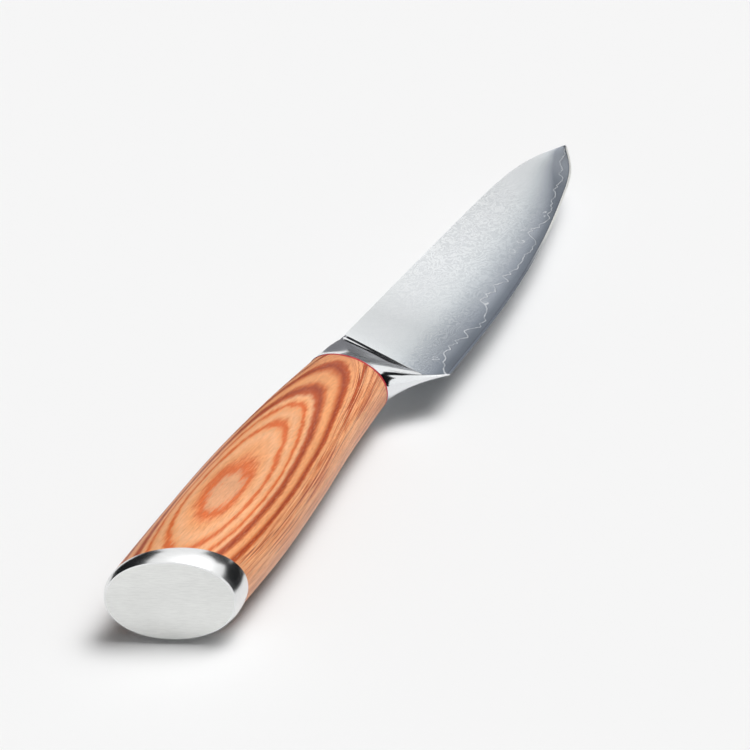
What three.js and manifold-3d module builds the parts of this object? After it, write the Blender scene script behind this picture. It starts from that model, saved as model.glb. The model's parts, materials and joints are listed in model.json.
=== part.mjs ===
import * as THREE from "three";
import { mergeVertices } from "three/addons/utils/BufferGeometryUtils.js";
import Module from "manifold-3d";

const wasm = await Module();
wasm.setup();

// Driving dimensions in millimetres. X runs from the butt to the tip, Y from the cutting edge to the spine,
// Z up through the thickness. Lengths along X are taken from the middle of the end cap's flat face.

// Blade
const HEEL = new THREE.Vector2(107, -14);
const SPINE_CORNER = new THREE.Vector2(112, 15.8);
const TIP = new THREE.Vector2(234.8, 7.9);
const TIP_FLAT = 0.5;
const SPINE_HALF = 1.0;
const TIP_HALF = 0.4;
const BEVEL_HEIGHT = 0.9;
const BEVEL_HALF = 0.2;
const CORE_HALF = 0.35;
const CORE_MOST = 0.6;
const CORE_SHARE = 0.17;
const CORE_WAVES = [{ height: 0.032, turns: 61 }, { height: 0.022, turns: 97 }, { height: 0.02, turns: 23 }];
const GRIND_POWER = 0.9;
const HEEL_NOTCH = 4.25;
const NOTCH_FADE = 0.1;
const BLADE_COLUMNS = 84;

// Handle, as two side lines from the end cap to the spacer and a half thickness between them
const HANDLE_SPINE_LINE = [[-2.6, 13.2], [20, 14.8], [45, 16.5], [70, 16.8], [92.3, 16.2]];
const HANDLE_BELLY_LINE = [[11.5, -11.8], [32, -10.9], [52, -9], [72.4, -6.4], [92.3, -4.7]];
const HANDLE_HALF_THICKNESS = [10.2, 10.7, 10.1, 9.1, 7.7];
const OVAL_POWER = 2.1;
const HANDLE_STATIONS = 28;
const RING_POINTS = 48;

// End cap
const CAP_FACE_TILT = THREE.MathUtils.degToRad(23);
const CAP_FACE_HALF_HEIGHT = 13.3;
const CAP_FACE_HALF_THICKNESS = 9.5;
const CAP_RIM_CHAMFER = 0.4;
const CAP_SIDE_SWELL = 0.35;
const CAP_POCKET_FLOOR = 0.2;

// Spacer and bolster
const SPACER_THICKNESS = 0.8;
const LIP_STEP = 0.1;
const LIP_POWER = 12;
const SWEEP_POWER = 1.5;
const SWEEP_SECTION_POWER = 1.5;
const FRONT_POWER = 8;
const SHOULDER_WIDTH = 2.5;
const SHOULDER_LEAST = 0.4;
const SHOULDER_NARROWS = 0.5;
const SHOULDER_ENDS = 0.76;
const SHOULDER_RISE = Math.tan(THREE.MathUtils.degToRad(9.5));
const LEDGE = 0.8;
const LEDGE_LEAST = 0.1;
const LEDGE_ENDS = 0.42;
const SLOPE_BEFORE_LEDGE = 0.55;
const CROWN_STATIONS = 10;
const BOLSTER_SUBDIVISIONS = 4;

// Tang, and the adhesive that beds it in the handle
const TANG_LOW = 0.5;
const TANG_HIGH = 8.5;
const TANG_HALF = 1.2;
const TANG_REACH = 99;
const BEDDING = 0.4;

const HANDLE_FRONT = HANDLE_SPINE_LINE.at(-1)[0];
const BOLSTER_REAR = HANDLE_FRONT + SPACER_THICKNESS;

const mix = THREE.MathUtils.lerp;
const curve = (points) => new THREE.SplineCurve(points.map(([x, y]) => new THREE.Vector2(x, y)));

// Solids

// A closed solid from a list of triangles, each given by three points.
function solidOf(triangles) {
  const positions = triangles.flatMap((triangle) => triangle.flatMap((point) => point.toArray()));
  const soup = new THREE.BufferGeometry();
  soup.setAttribute("position", new THREE.Float32BufferAttribute(positions, 3));
  const merged = mergeVertices(soup, 1e-4);
  const corners = [];
  const index = merged.index.array;
  for (let i = 0; i < index.length; i += 3) {
    const [a, b, c] = index.slice(i, i + 3);
    if (a !== b && b !== c && c !== a) corners.push(a, b, c);
  }
  const made = new wasm.Mesh({
    numProp: 3,
    vertProperties: merged.attributes.position.array,
    triVerts: new Uint32Array(corners),
  });
  return new wasm.Manifold(made);
}

function geometryOf(solid) {
  const mesh = solid.getMesh();
  const geometry = new THREE.BufferGeometry();
  geometry.setAttribute("position", new THREE.BufferAttribute(mesh.vertProperties, 3));
  geometry.setIndex(new THREE.BufferAttribute(mesh.triVerts, 1));
  return geometry;
}

function boxSolid(low, high) {
  const size = new THREE.Vector3().subVectors(high, low);
  const box = new THREE.BoxGeometry(size.x, size.y, size.z).toNonIndexed();
  const middle = new THREE.Vector3().addVectors(low, high).multiplyScalar(0.5);
  box.translate(middle.x, middle.y, middle.z);
  const p = box.attributes.position;
  const corner = (i) => new THREE.Vector3().fromBufferAttribute(p, i);
  const triangles = [];
  for (let i = 0; i < p.count; i += 3) triangles.push([corner(i), corner(i + 1), corner(i + 2)]);
  return solidOf(triangles);
}

const quad = (a, b, c, d) => [[a, b, c], [a, c, d]];

// A loft through rings of equal length. Each ring starts at the spine side, passes over the upper side to the
// belly side and returns below, so each point has a partner straight beneath it and the ends close by strips.
function loft(rings) {
  const count = rings[0].length;
  const triangles = [];
  for (let k = 0; k + 1 < rings.length; k++) {
    for (let i = 0; i < count; i++) {
      const j = (i + 1) % count;
      triangles.push(...quad(rings[k][i], rings[k][j], rings[k + 1][j], rings[k + 1][i]));
    }
  }
  const close = (ring, facing) => {
    for (let i = 0; i < count / 2; i++) {
      const strip = [ring[i], ring[i + 1], ring[(count - i - 1) % count], ring[(count - i) % count]];
      triangles.push(...quad(...(facing > 0 ? strip : strip.reverse())));
    }
  };
  close(rings[0], -1);
  close(rings.at(-1), 1);
  return solidOf(triangles);
}

// Half of the thickness of an oval at a share of its height, counted from the spine side.
const ovalHalf = (share, power) => Math.pow(Math.max(0, 1 - Math.abs(1 - 2 * share) ** power), 1 / power);

// A ring through shares of the height: the upper side forwards, then the lower side back.
function ringOf(shares, place) {
  const upper = shares.map((share) => place(share));
  const lower = upper.slice(1, -1).reverse().map((point) => new THREE.Vector3(point.x, point.y, -point.z));
  return [...upper, ...lower];
}

// Handle, spacer and end cap

const roundShares = Array.from({ length: RING_POINTS / 2 + 1 }, (_, i) => {
  return (1 - Math.cos((i * Math.PI * 2) / RING_POINTS)) / 2;
});

function ovalRing(high, low, halfThickness) {
  return ringOf(roundShares, (share) => {
    const z = halfThickness * ovalHalf(share, OVAL_POWER);
    return new THREE.Vector3(mix(high.x, low.x, share), mix(high.y, low.y, share), z);
  });
}

const spineLine = curve(HANDLE_SPINE_LINE);
const bellyLine = curve(HANDLE_BELLY_LINE);
const thicknessLine = curve(HANDLE_HALF_THICKNESS.map((half, i) => [i, half]));
const handleRing = (t) => ovalRing(spineLine.getPoint(t), bellyLine.getPoint(t), thicknessLine.getPoint(t).y);

const handleRings = Array.from({ length: HANDLE_STATIONS + 1 }, (_, k) => handleRing(k / HANDLE_STATIONS));
const handleBody = loft(handleRings);

const tangBox = (grow, from, to) => boxSolid(
  new THREE.Vector3(from, TANG_LOW - grow, -TANG_HALF - grow),
  new THREE.Vector3(to, TANG_HIGH + grow, TANG_HALF + grow),
);
const FAR_BEHIND = -20;
const tangBar = tangBox(0, CAP_POCKET_FLOOR, TANG_REACH);
const tangSlot = tangBox(BEDDING, FAR_BEHIND, TANG_REACH);

const handleBlock = handleBody.subtract(tangSlot);
const tangBedding = handleBody.intersect(tangSlot).subtract(tangBox(0, FAR_BEHIND, TANG_REACH));

const frontRing = handleRings.at(-1);
const spacerRings = [HANDLE_FRONT, BOLSTER_REAR].map((x) => {
  return frontRing.map((point) => new THREE.Vector3(x, point.y, point.z));
});
const spacer = loft(spacerRings).subtract(tangBar);

// The end cap grows from its flat, tilted face to the handle's rear ring, with a slightly swollen side.
const capSide = new THREE.Vector2(-Math.sin(CAP_FACE_TILT), Math.cos(CAP_FACE_TILT));
const capFaceRing = (inset) => ovalRing(
  capSide.clone().multiplyScalar(CAP_FACE_HALF_HEIGHT - inset),
  capSide.clone().multiplyScalar(inset - CAP_FACE_HALF_HEIGHT),
  CAP_FACE_HALF_THICKNESS - inset,
);
const rearRing = handleRings[0];
const capMiddle = new THREE.Vector3();
rearRing.forEach((point) => capMiddle.addScaledVector(point, 1 / rearRing.length));

function capRing(share) {
  const edge = capFaceRing(0);
  const swell = CAP_SIDE_SWELL * Math.sin(Math.PI * share);
  return edge.map((point, i) => {
    const made = point.clone().lerp(rearRing[i], share);
    const outward = new THREE.Vector3(0, rearRing[i].y - capMiddle.y, rearRing[i].z).normalize();
    return made.addScaledVector(outward, swell);
  });
}
const CAP_SIDE_SHARES = [0.1, 0.3, 0.5, 0.75, 1];
const capRings = [capFaceRing(CAP_RIM_CHAMFER), ...CAP_SIDE_SHARES.map(capRing)];
const endCap = loft(capRings).subtract(tangBox(0, CAP_POCKET_FLOOR, TANG_REACH));

// Blade, on a grid of columns from the heel to the tip and rows from the edge to the spine

const edgeLine = curve([[HEEL.x, HEEL.y], [142, -12.5], [176, -8.7], [204, -3.4], [221, 1.1], [TIP.x, TIP.y]]);
const backLine = curve([[SPINE_CORNER.x, SPINE_CORNER.y], [147, 16], [180, 16.1], [206, 15.7], [222, 13.5],
  [TIP.x - 0.2, TIP.y + TIP_FLAT]]);
const bladeHeight = (c) => edgeLine.getPoint(c).distanceTo(backLine.getPoint(c));

const CALM_AT_HEEL = 0.07;
const CALM_AT_TIP = 0.11;

// The core shows as a wavy band above the edge, because the welded layers lie unevenly over it.
function coreRow(c) {
  const wave = CORE_WAVES.reduce((sum, { height, turns }, i) => sum + height * Math.sin(turns * c + i), 0);
  const calmAtEnds = Math.min(1, c / CALM_AT_HEEL, (1 - c) / CALM_AT_TIP);
  return CORE_SHARE + wave * calmAtEnds;
}

// Rows of a column as shares of its height: the edge, the bevel, the core band and the cladding up to the spine.
const BAND_STEPS = [1 / 3, 2 / 3, 1];
const CLADDING_STEPS = [0.3, 0.6, 0.9, 1];
function rowShares(c) {
  const bevel = Math.min(BEVEL_HEIGHT / bladeHeight(c), CORE_SHARE / 3);
  const core = coreRow(c);
  const band = BAND_STEPS.map((step) => mix(bevel, core, step));
  const cladding = CLADDING_STEPS.map((step) => mix(core, 1, step));
  return [0, bevel, ...band, ...cladding];
}
const CORE_ROW = 1 + BAND_STEPS.length;
const rearShares = rowShares(0);
const ROWS = rearShares.length;

// The blade's rear line runs straight down from the spine to the core line, then forwards along the lip to the heel.
const notch = (share) => -HEEL_NOTCH * Math.min(share / CORE_SHARE, (1 - share) / (1 - CORE_SHARE));
const notchByRow = rearShares.map(notch);

function bladePoint(c, row) {
  const share = rowShares(c)[row];
  const point = edgeLine.getPoint(c).lerp(backLine.getPoint(c), share);
  point.x += notchByRow[row] * Math.max(0, 1 - c / NOTCH_FADE) ** 2;
  return point;
}

function bladeHalf(c, row) {
  const shares = rowShares(c);
  const back = mix(SPINE_HALF, TIP_HALF, c);
  if (row === 0) return 0;
  const climb = (shares[row] - shares[1]) / (1 - shares[1]);
  return BEVEL_HALF + (back - BEVEL_HALF) * climb ** GRIND_POWER;
}

function coreHalf(c, row) {
  if (row <= CORE_ROW || c === 1) return bladeHalf(c, row);
  const shares = rowShares(c);
  const climb = (shares[row] - shares[CORE_ROW]) / (1 - shares[CORE_ROW]);
  const coreAtSpine = Math.min(CORE_HALF, CORE_MOST * bladeHalf(c, ROWS - 1));
  return mix(bladeHalf(c, CORE_ROW), coreAtSpine, climb);
}

// A sheet of the blade between two heights, from one row up to the spine, closed along its rims.
function bladeSheet(firstRow, lowHalf, highHalf) {
  const at = (k, row, half) => {
    const c = k / BLADE_COLUMNS;
    const point = bladePoint(c, row);
    return new THREE.Vector3(point.x, point.y, half(c, row));
  };
  const triangles = [];
  for (let k = 0; k < BLADE_COLUMNS; k++) {
    for (let row = firstRow; row + 1 < ROWS; row++) {
      const cell = (half) => [at(k, row, half), at(k + 1, row, half), at(k + 1, row + 1, half), at(k, row + 1, half)];
      triangles.push(...quad(...cell(highHalf)));
      triangles.push(...quad(...cell(lowHalf)).map((triangle) => triangle.reverse()));
    }
    const spineWall = [at(k, ROWS - 1, lowHalf), at(k, ROWS - 1, highHalf),
      at(k + 1, ROWS - 1, highHalf), at(k + 1, ROWS - 1, lowHalf)];
    triangles.push(...quad(...spineWall));
  }
  for (let row = firstRow; row + 1 < ROWS; row++) {
    const wall = (k) => [at(k, row, lowHalf), at(k, row, highHalf), at(k, row + 1, highHalf), at(k, row + 1, lowHalf)];
    triangles.push(...quad(...wall(0)));
    triangles.push(...quad(...wall(BLADE_COLUMNS).reverse()));
  }
  return solidOf(triangles);
}

const below = (half) => (c, row) => -half(c, row);
const bladeCore = bladeSheet(0, below(coreHalf), coreHalf);
const claddingRight = bladeSheet(CORE_ROW, coreHalf, bladeHalf);
const claddingLeft = bladeSheet(CORE_ROW, below(bladeHalf), below(coreHalf));

// Bolster: from the handle's oval to the blade's rear line, with the finger sweep running out to the heel

const bolsterShares = [];
const fromSpine = rearShares.map((share) => 1 - share).reverse();
fromSpine.slice(0, -1).forEach((share, i) => {
  const steps = i < ROWS - 1 - CORE_ROW ? BOLSTER_SUBDIVISIONS : 1;
  for (let n = 0; n < steps; n++) bolsterShares.push(mix(share, fromSpine[i + 1], n / steps));
});
bolsterShares.push(1);

// The blade's rear line, straight between its rows, at a share of the height counted from the spine.
function rearLine(share) {
  const rise = 1 - share;
  const i = Math.min(ROWS - 2, rearShares.findLastIndex((value) => value <= rise + 1e-9));
  const step = (rise - rearShares[i]) / (rearShares[i + 1] - rearShares[i]);
  return bladePoint(0, i).lerp(bladePoint(0, i + 1), step);
}

const ringTop = spineLine.getPoint(1).y;
const ringBottom = bellyLine.getPoint(1).y;
const ringHalf = HANDLE_HALF_THICKNESS.at(-1);

// Half of the blade's thickness at its rear line, at a share of the height counted from the spine.
function rearHalf(share) {
  const climb = Math.max(0, (1 - share - rearShares[1]) / (1 - rearShares[1]));
  return BEVEL_HALF + (SPINE_HALF - BEVEL_HALF) * climb ** GRIND_POWER;
}

const lipHalf = (share) => rearHalf(share) + LIP_STEP;

// The shoulder in front of the crown: a low slope up from the blade, with a level ledge in it near the spine.
function shoulderAt(share) {
  const { smoothstep } = THREE.MathUtils;
  const width = mix(SHOULDER_WIDTH, SHOULDER_LEAST, smoothstep(share, SHOULDER_NARROWS, SHOULDER_ENDS));
  const ledge = mix(LEDGE, LEDGE_LEAST, smoothstep(share, 0, LEDGE_ENDS));
  const slope = (width - ledge) * SLOPE_BEFORE_LEDGE;
  return { width, ledge, slope };
}

// Height of the crown over the lip, at a distance behind the blade's rear line.
function crownHeight(share, behind, length) {
  const { width, ledge, slope } = shoulderAt(share);
  const lower = Math.min(behind, slope);
  const upper = THREE.MathUtils.clamp(behind - slope - ledge, 0, width - slope - ledge);
  const foot = SHOULDER_RISE * (width - ledge);
  const steepness = (ringHalf - lipHalf(share) - foot) / (length - width);
  return SHOULDER_RISE * (lower + upper) + steepness * Math.max(0, behind - width);
}

// A ring of the bolster. Its place says how far each of its points lies behind the blade's rear line.
function bolsterRing(place) {
  return ringOf(bolsterShares, (share) => {
    const front = rearLine(share);
    const length = front.x - BOLSTER_REAR;
    const behind = place(shoulderAt(share), length);
    const t = 1 - behind / length;
    const y = mix(mix(ringTop, ringBottom, share), front.y, t ** SWEEP_POWER);
    const spineSide = mix(OVAL_POWER, FRONT_POWER, t ** 2);
    const bellySide = mix(OVAL_POWER, SWEEP_SECTION_POWER, t);
    const lip = lipHalf(share) * ovalHalf(share, mix(OVAL_POWER, LIP_POWER, Math.sqrt(t)));
    const crown = crownHeight(share, behind, length) * ovalHalf(share, share < 0.5 ? spineSide : bellySide);
    return new THREE.Vector3(front.x - behind, y, lip + crown);
  });
}
const bolsterPlaces = [
  ...Array.from({ length: CROWN_STATIONS }, (_, k) => ({ width }, length) => mix(length, width, k / CROWN_STATIONS)),
  ({ width }) => width,
  ({ slope, ledge }) => slope + ledge,
  ({ slope }) => slope,
  () => 0,
];
const bolster = loft(bolsterPlaces.map(bolsterRing)).subtract(tangBar);

// Assembly: each piece is a named mesh with its own material

const finishes = {
  blade_core: { color: 0x8d949b, roughness: 0.3, metalness: 1 },
  blade_cladding_right: { color: 0xc9cfd3, roughness: 0.35, metalness: 1 },
  blade_cladding_left: { color: 0xc9cfd3, roughness: 0.35, metalness: 1 },
  bolster: { color: 0xd2d4d4, roughness: 0.15, metalness: 1 },
  fibre_spacer: { color: 0xb3303a, roughness: 0.5, metalness: 0 },
  handle_block: { color: 0xd98a58, roughness: 0.42, metalness: 0 },
  tang_bedding: { color: 0xb9a77a, roughness: 0.6, metalness: 0 },
  tang_bar: { color: 0x9a9da0, roughness: 0.5, metalness: 1 },
  end_cap: { color: 0xd8d8d6, roughness: 0.28, metalness: 1 },
};
const solids = {
  blade_core: bladeCore,
  blade_cladding_right: claddingRight,
  blade_cladding_left: claddingLeft,
  bolster,
  fibre_spacer: spacer,
  handle_block: handleBlock,
  tang_bedding: tangBedding,
  tang_bar: tangBar,
  end_cap: endCap,
};

const knife = new THREE.Group();
for (const [name, solid] of Object.entries(solids)) {
  const mesh = new THREE.Mesh(geometryOf(solid), new THREE.MeshStandardMaterial(finishes[name]));
  mesh.name = name;
  knife.add(mesh);
}

// The knife lies on its left side: the lowest point of the handle is at zero and the outline is centred.
const box = new THREE.Box3().setFromObject(knife);
const middle = box.getCenter(new THREE.Vector3());
knife.position.set(-middle.x, -middle.y, -box.min.z);

const utilityKnife = new THREE.Group();
utilityKnife.name = "kitchen_utility_knife";
utilityKnife.add(knife);

export default utilityKnife;
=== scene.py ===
# %% [markdown]
# # A kitchen utility knife
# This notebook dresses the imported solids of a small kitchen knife. The solids fix the size and the place
# of everything. Each visible piece is made again here as a finer mesh from the same few lines and
# thicknesses, because a polished surface shows every facet. The knife lies on its left side, with the
# butt near us and the tip far away.

# %% The frame
import json
import math

import bpy
import numpy as np
from mathutils import Matrix, Vector


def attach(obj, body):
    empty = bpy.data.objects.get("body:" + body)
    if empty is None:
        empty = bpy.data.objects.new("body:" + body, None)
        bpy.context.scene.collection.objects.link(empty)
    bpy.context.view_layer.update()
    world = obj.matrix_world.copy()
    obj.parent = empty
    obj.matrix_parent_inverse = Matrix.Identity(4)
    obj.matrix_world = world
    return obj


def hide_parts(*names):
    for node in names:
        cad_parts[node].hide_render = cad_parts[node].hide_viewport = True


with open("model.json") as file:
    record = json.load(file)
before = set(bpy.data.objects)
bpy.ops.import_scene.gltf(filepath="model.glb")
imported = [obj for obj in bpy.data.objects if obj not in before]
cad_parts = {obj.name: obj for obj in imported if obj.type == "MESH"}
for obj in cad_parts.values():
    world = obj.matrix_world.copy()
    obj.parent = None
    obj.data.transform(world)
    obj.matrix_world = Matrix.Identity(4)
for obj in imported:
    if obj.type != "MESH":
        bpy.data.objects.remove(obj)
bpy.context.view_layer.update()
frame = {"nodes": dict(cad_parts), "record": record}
scene = bpy.context.scene
scene.view_settings.view_transform = "Standard"
MM = 0.001
mounts = {mount["name"]: mount for mount in frame["record"]["mounts"]}
BUTT = np.array(mounts["end_face"]["pos_m"])
print("CAD nodes:", ", ".join(sorted(frame["nodes"])))

# %% [markdown]
# ## The camera
# The photograph was taken from behind the butt, about thirty degrees above the table, with a long lens.
# Such a lens keeps the far tip from shrinking too much. The two directions below are what the camera
# calls right and down, and forward follows from them. Blender wants right, up and backward, so two of the
# three change sign.

# %% The camera
CAMERA_PLACE_MM = (-353.61, -216.75, 293.91)
CAMERA_RIGHT = Vector((0.4322, -0.9017, -0.0041))
CAMERA_DOWN = Vector((-0.4565, -0.2149, -0.8634))
LENS_MM = 120
SENSOR_MM = 36
CLIP_START = 0.01

lens = bpy.data.cameras.new("camera")
lens.lens = LENS_MM
lens.sensor_width = SENSOR_MM
lens.clip_start = CLIP_START
camera = bpy.data.objects.new("camera", lens)
right = CAMERA_RIGHT.normalized()
down = (CAMERA_DOWN - right * CAMERA_DOWN.dot(right)).normalized()
forward = right.cross(down)
turn = Matrix((right, -down, -forward)).transposed()
camera.matrix_world = Matrix.Translation(Vector(BUTT + np.array(CAMERA_PLACE_MM) * MM)) @ turn.to_4x4()
scene.collection.objects.link(camera)
scene.camera = camera
print("camera looks along", [round(v, 3) for v in forward])

# %% [markdown]
# ## From drawing to object
# All lengths are drawn in millimetres from the middle of the end cap's flat face: X to the tip, Y to the
# spine, Z up from the blade's mid plane. The record keeps that face as a mount, so its place turns the
# drawing into the frame. Smooth lines pass through a few points, in the way a batten is bent round nails.
# Blender's curve objects could do that too, but a formula hands out any number of points at once.

# %% Smooth lines and ovals
def smooth_line(points, shares):
    """Points of a smooth line through the given ones; each stretch between nails takes an equal share."""
    nails = np.array(points, float)
    last = len(nails) - 1
    place = np.clip(np.asarray(shares, float), 0, 1) * last
    start = np.minimum(place.astype(int), last - 1)
    step = (place - start)[:, None]
    before, here, there, after = (nails[np.clip(start + k, 0, last)] for k in (-1, 0, 1, 2))
    leave, arrive = (there - before) / 2, (after - here) / 2
    cubic = 2 * here - 2 * there + leave + arrive
    square = 3 * there - 3 * here - 2 * leave - arrive
    return ((cubic * step + square) * step + leave) * step + here


def mix(a, b, share):
    return a + (b - a) * share


def oval(share, power):
    """Half thickness of an oval, as a share of its largest, at a share of the height from the spine side."""
    return np.maximum(0, 1 - np.abs(1 - 2 * share) ** power) ** (1 / power)


print("a batten over three nails passes", smooth_line([(0, 0), (1, 2), (2, 0)], [0.25])[0])

# %% [markdown]
# ## Skins
# Handle, spacer, cap and bolster are round in section, so their skins are lofts: rings of points, one
# behind the other, joined by four-sided faces. Blender could also stretch a cylinder and bend it with
# modifiers, but rings from named lines keep the sizes in sight. The two ends are closed by ladders, whose
# rungs run from the upper side to the under side.

# %% Skins through rings
def grid_faces(rows, columns, closed):
    """Four-sided faces of a grid of points; a closed grid joins its last column to its first."""
    faces = []
    for row in range(rows - 1):
        for column in range(columns if closed else columns - 1):
            beside = (column + 1) % columns
            faces.append((row * columns + column, row * columns + beside,
                          (row + 1) * columns + beside, (row + 1) * columns + column))
    return faces


def ladder(columns, start):
    """Faces that close a ring: each rung joins a point of the upper side to the one below it."""
    half = columns // 2
    under = [0] + [columns - i for i in range(1, half)] + [half]
    faces = []
    for i in range(half):
        rung = [i, i + 1, under[i + 1], under[i]]
        faces.append(tuple(start + p for p in dict.fromkeys(rung)))
    return faces


def loft(rings):
    """Points and faces of a closed skin through rings of equal length."""
    rings = np.asarray(rings)
    rows, columns = rings.shape[:2]
    faces = grid_faces(rows, columns, closed=True)
    faces += [face[::-1] for face in ladder(columns, 0)]
    faces += ladder(columns, (rows - 1) * columns)
    return rings.reshape(-1, 3), faces


print("a skin of three rings with eight points each has", len(loft(np.zeros((3, 8, 3)))[1]), "faces")

# %% [markdown]
# ## One piece
# A piece is a mesh that takes the place of one CAD node. It is smooth except where two faces meet at a sharp
# angle, which each piece may set for itself. It is fixed to the body that carries it, and the CAD node it
# replaces is hidden.

# %% A piece of the knife
SHARP_ANGLE = 28


def piece(name, points, faces, node, slot, sharp=SHARP_ANGLE):
    """A visible piece in the place of one CAD node, fixed to the knife's only body."""
    mesh = bpy.data.meshes.new(name)
    mesh.from_pydata((np.asarray(points) * MM + BUTT).tolist(), [], faces)
    mesh.update()
    mesh.shade_smooth()
    mesh.set_sharp_from_angle(angle=math.radians(sharp))
    made = bpy.data.objects.new(name, mesh)
    scene.collection.objects.link(made)
    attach(made, "root")
    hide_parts(node)
    print(name, "stands for", node, "with", len(mesh.polygons), "faces")
    return made


print("pieces are drawn from", BUTT.round(4).tolist(), "in metres")

# %% [markdown]
# ## The handle
# The handle is one block of pressed veneers, shaped and sanded to an oval that is fullest where the palm
# closes. Two side lines and a thickness line carry it, and ovals are spread between them. A loft is the
# natural tool: it keeps the long lines fair from the cap to the spacer.

# %% The handle's skin
SPINE_LINE = [(-2.6, 13.2), (20, 14.8), (45, 16.5), (70, 16.8), (92.3, 16.2)]
BELLY_LINE = [(11.5, -11.8), (32, -10.9), (52, -9), (72.4, -6.4), (92.3, -4.7)]
HALF_THICKNESS = [10.2, 10.7, 10.1, 9.1, 7.7]
OVAL_POWER = 2.1
RING_POINTS = 128
HANDLE_STATIONS = 120

half_turn = np.linspace(0, math.pi, RING_POINTS // 2 + 1)
ROUND = (1 - np.cos(half_turn)) / 2


def both_sides(upper):
    """A ring from its upper side: the lower side is its mirror image, walked back."""
    lower = upper[-2:0:-1] * np.array([1, 1, -1])
    return np.vstack([upper, lower])


def oval_ring(high, low, half):
    """An oval from a point on the spine side to one on the belly side, with a half thickness."""
    side = mix(np.asarray(high)[None], np.asarray(low)[None], ROUND[:, None])
    return both_sides(np.column_stack([side, half * oval(ROUND, OVAL_POWER)]))


stations = np.linspace(0, 1, HANDLE_STATIONS + 1)
spine_side = smooth_line(SPINE_LINE, stations)
belly_side = smooth_line(BELLY_LINE, stations)
thickness = smooth_line([(half,) for half in HALF_THICKNESS], stations)[:, 0]
handle_rings = [oval_ring(*parts) for parts in zip(spine_side, belly_side, thickness)]
handle = piece("handle_wood", *loft(handle_rings), "handle_block", "laminated_wood")

# %% [markdown]
# ## The spacer
# A thin washer of red fibre sits between wood and steel. It takes up the movement of the wood, so no gap
# opens. A flattened cylinder would have to be fitted to the handle. Repeating the handle's last ring fits
# by itself.

# %% The red washer
SPACER_THICKNESS = 0.55
HANDLE_FRONT = SPINE_LINE[-1][0]
BOLSTER_REAR = HANDLE_FRONT + SPACER_THICKNESS

spacer_rings = [handle_rings[-1] + np.array([step, 0, 0]) for step in (0, SPACER_THICKNESS)]
spacer = piece("fibre_washer", *loft(spacer_rings), "fibre_spacer", "red_fibre")

# %% [markdown]
# ## The end cap
# The cap is a steel shell with a flat end, cut at a slant. Its side is polished, its end is brushed and
# the rim between them is broken by a very small round. A bevel modifier could make that round, but here
# the rings of the loft crowd together at the rim, so the highlight along it stays crisp.

# %% The steel cap
FACE_TILT = math.radians(23)
FACE_HALF_HEIGHT = 13.3
FACE_HALF_THICKNESS = 9.5
SIDE_SWELL = 0.35
RIM_ROUND = 0.4
RIM_SHARE = 0.06
RIM_REACH = 0.9
RIM_STEPS = 6
CAP_STATIONS = 24
CAP_SHARP_ANGLE = 40

face_up = np.array([-math.sin(FACE_TILT), math.cos(FACE_TILT)])


def cap_face_ring(inset):
    """The outline of the flat end, drawn in by a distance."""
    reach = FACE_HALF_HEIGHT - inset
    return oval_ring(face_up * reach, -face_up * reach, FACE_HALF_THICKNESS - inset)


rear_ring = handle_rings[0]
outward = rear_ring - rear_ring.mean(axis=0)
outward[:, 0] = 0
outward /= np.linalg.norm(outward, axis=1)[:, None]


def cap_side_ring(share):
    """A ring of the cap's side, at a share of the way from the flat end to the wood."""
    swell = SIDE_SWELL * math.sin(math.pi * share)
    return mix(cap_face_ring(0), rear_ring, share) + outward * swell


cap_rings = []
for step in range(RIM_STEPS):
    corner = math.pi / 2 * step / RIM_STEPS
    inset = RIM_ROUND * (1 - math.sin(corner))
    sunk = RIM_REACH * (1 - math.cos(corner))
    cap_rings.append(mix(cap_face_ring(inset), cap_side_ring(RIM_SHARE), sunk))
cap_rings += [cap_side_ring(share) for share in np.linspace(RIM_SHARE, 1, CAP_STATIONS)]
cap = piece("steel_cap", *loft(cap_rings), "end_cap", "brushed_cap_steel", sharp=CAP_SHARP_ANGLE)

# %% [markdown]
# ## The blade's outline
# Three sheets make the blade: a hard core that carries the edge, and a layered sheet on each side. They
# share one outline, a line for the edge and a line for the back. A blade is ground without sudden turns,
# so a few points are enough. The outline is then cut into narrow columns from heel to tip.

# %% Edge and back
HEEL = (107, -14)
SPINE_CORNER = (112, 15.8)
TIP = (234.8, 7.9)
EDGE_LINE = [HEEL, (142, -12.5), (176, -8.7), (204, -3.4), (221, 1.1), TIP]
BACK_LINE = [SPINE_CORNER, (147, 16), (180, 16.1), (206, 15.7), (222, 13.5), (234.6, 8.4)]
COLUMNS = 640

columns = np.linspace(0, 1, COLUMNS + 1)
edge = smooth_line(EDGE_LINE, columns)
back = smooth_line(BACK_LINE, columns)
blade_height = np.linalg.norm(back - edge, axis=1)
print("blade:", round(TIP[0] - HEEL[0], 1), "mm long,", round(float(blade_height.max()), 1), "mm high")

# %% [markdown]
# ## The ragged line
# The side sheets end in a ragged line where the grinding lets the core come out. Its larger rises and dips
# are a few nails. Its teeth are three waves of different length, leaning and unevenly spaced, because forged
# layers never come out evenly. Where the band of core is low, the teeth are low too.

# %% Where the core comes out
# Nails of the line: distance from the butt, height over the edge.
BORDER_LINE = [(HEEL[0], 0.7), (111, 3.5), (118, 4.5), (127, 3.5), (133, 1.8), (138, 4), (145, 5.5), (156, 4),
               (170, 2.5), (176, 2), (181, 4.5), (191, 2), (204, 2.8), (214, 2.5), (224, 3), (TIP[0], 0.3)]
POINTS_PER_COLUMN = 8
# Waves that make it ragged: height and length of each.
TEETH = [(0.8, 8.3), (0.6, 4.7), (0.12, 1.7)]
TOOTH_LEAN = 0.8
UNEVEN_TEETH = 1.5
UNEVEN_OVER = 2.7
FULL_TEETH = 4.5
LARGEST_CORE_SHARE = 0.5

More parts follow.
